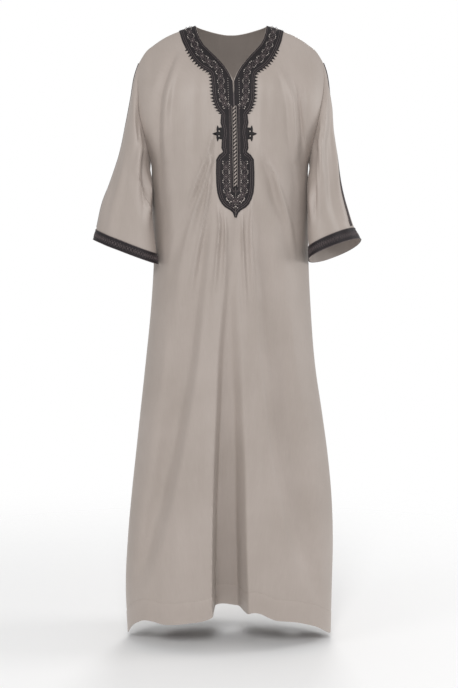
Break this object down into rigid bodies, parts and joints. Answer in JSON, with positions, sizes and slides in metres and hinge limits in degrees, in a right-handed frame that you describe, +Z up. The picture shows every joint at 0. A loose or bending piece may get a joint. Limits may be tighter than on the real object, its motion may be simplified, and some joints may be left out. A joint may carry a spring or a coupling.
{
  "type": "djellaba robe",
  "caption": "Long loose pull-on robe with three-quarter sleeves, embroidered V neckline, placket and cuffs, in its hollow worn form.",
  "frame": {"origin": "midway between the two points where the shoulder seams meet the neckline, where the wearer's shoulders carry the robe", "axes": "+Z up, the front faces -Y, +X towards the wearer's left"},
  "size_m": [0.6306, 0.2918, 1.435],
  "materials": {
    "cloth": "soft satin weave in warm greige",
    "embroidery": "dense dark brown embroidery with a low silky gloss",
    "cuff_trim": "woven dark brown trim",
    "braid": "twisted silky braid"
  },
  "bodies": {
    "root": {"front_panel": "cloth", "back_panel": "cloth", "sleeve_right": "cloth", "sleeve_left": "cloth", "neck_band_right": "embroidery", "neck_band_left": "embroidery", "neck_band_back": "embroidery", "placket_braid": "braid", "star_right": "embroidery", "star_left": "embroidery", "cuff_right": "cuff_trim", "cuff_left": "cuff_trim", "sleeve_stripe_right": "cuff_trim", "sleeve_stripe_left": "cuff_trim"}
  },
  "joints": []
}
